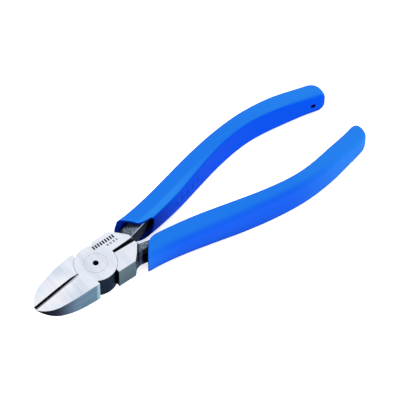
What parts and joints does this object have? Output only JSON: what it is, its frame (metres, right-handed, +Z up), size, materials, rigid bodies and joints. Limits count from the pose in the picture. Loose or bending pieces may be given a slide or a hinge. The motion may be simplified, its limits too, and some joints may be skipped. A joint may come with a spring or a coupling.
{
  "type": "diagonal cutting nippers",
  "caption": "Small lap-joint side cutters with flush-ground head, fine cutting edges and blue dipped vinyl grips, for leads and plastic.",
  "frame": {"origin": "pivot axis where it meets the ground underside of the head", "axes": "+X from the pivot towards the handle ends, jaws to -X; +Y across the tool; +Z up along the pivot axis, out of the marked face"},
  "size_m": [0.1553, 0.0448, 0.0142],
  "materials": {
    "lever_steel": "ground satin faces, dark forged sides",
    "rivet_steel": "ground flush",
    "grip_vinyl": "smooth semi-gloss dipped vinyl"
  },
  "bodies": {
    "upper_half": {"upper_lever": "lever_steel", "pivot_rivet": "rivet_steel", "upper_grip": "grip_vinyl"},
    "lower_half": {"lower_lever": "lever_steel", "lower_grip": "grip_vinyl"}
  },
  "joints": [
    {"name": "pivot", "type": "hinge", "parent": "upper_half", "child": "lower_half", "pos_m": [0, 0, 0.005], "axis": [0, 0, -1], "range_deg": [0, 50]}
  ]
}
